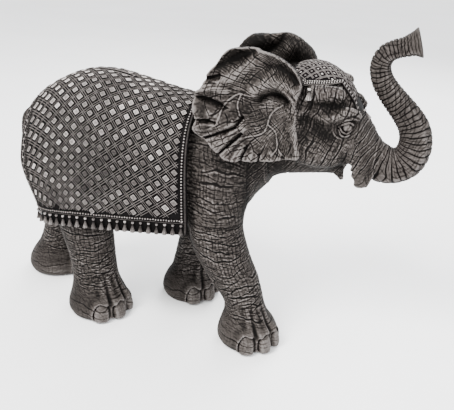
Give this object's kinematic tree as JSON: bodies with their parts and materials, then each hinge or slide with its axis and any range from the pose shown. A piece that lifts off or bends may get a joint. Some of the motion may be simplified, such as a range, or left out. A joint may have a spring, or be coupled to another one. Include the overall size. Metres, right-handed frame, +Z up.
{
  "type": "figural coin bank",
  "caption": "Hollow cast elephant coin bank with raised trunk, studded blanket and forehead cap, a coin slot in the back and a rubber stopper in the belly.",
  "frame": {"origin": "on the ground under the centre of the bank's bounding box", "axes": "+X from tail to trunk, +Y to the animal's left, +Z up"},
  "size_m": [0.5145, 0.1712, 0.376],
  "materials": {
    "resin_skin": "cast resin, black with a brushed grey highlight on the raised wrinkles",
    "resin_silvered": "cast resin, black in the recesses and brushed silver on the raised pattern",
    "felt": "black felt disc",
    "rubber": "soft black rubber"
  },
  "bodies": {
    "figure": {"torso_shell": "resin_skin", "leg_front_right": "resin_skin", "leg_front_left": "resin_skin", "leg_rear_right": "resin_skin", "leg_rear_left": "resin_skin", "head": "resin_skin", "trunk": "resin_skin", "ear_right": "resin_skin", "ear_left": "resin_skin", "tail": "resin_skin", "blanket": "resin_silvered", "blanket_tassels": "resin_silvered", "forehead_cap": "resin_silvered", "cap_tassels": "resin_silvered", "foot_pads": "felt"},
    "stopper": {"stopper": "rubber"}
  },
  "joints": [
    {"name": "stopper_pull", "type": "slide", "parent": "figure", "child": "stopper", "axis": [0, 0, -1], "range_m": [0, 0.045]}
  ]
}
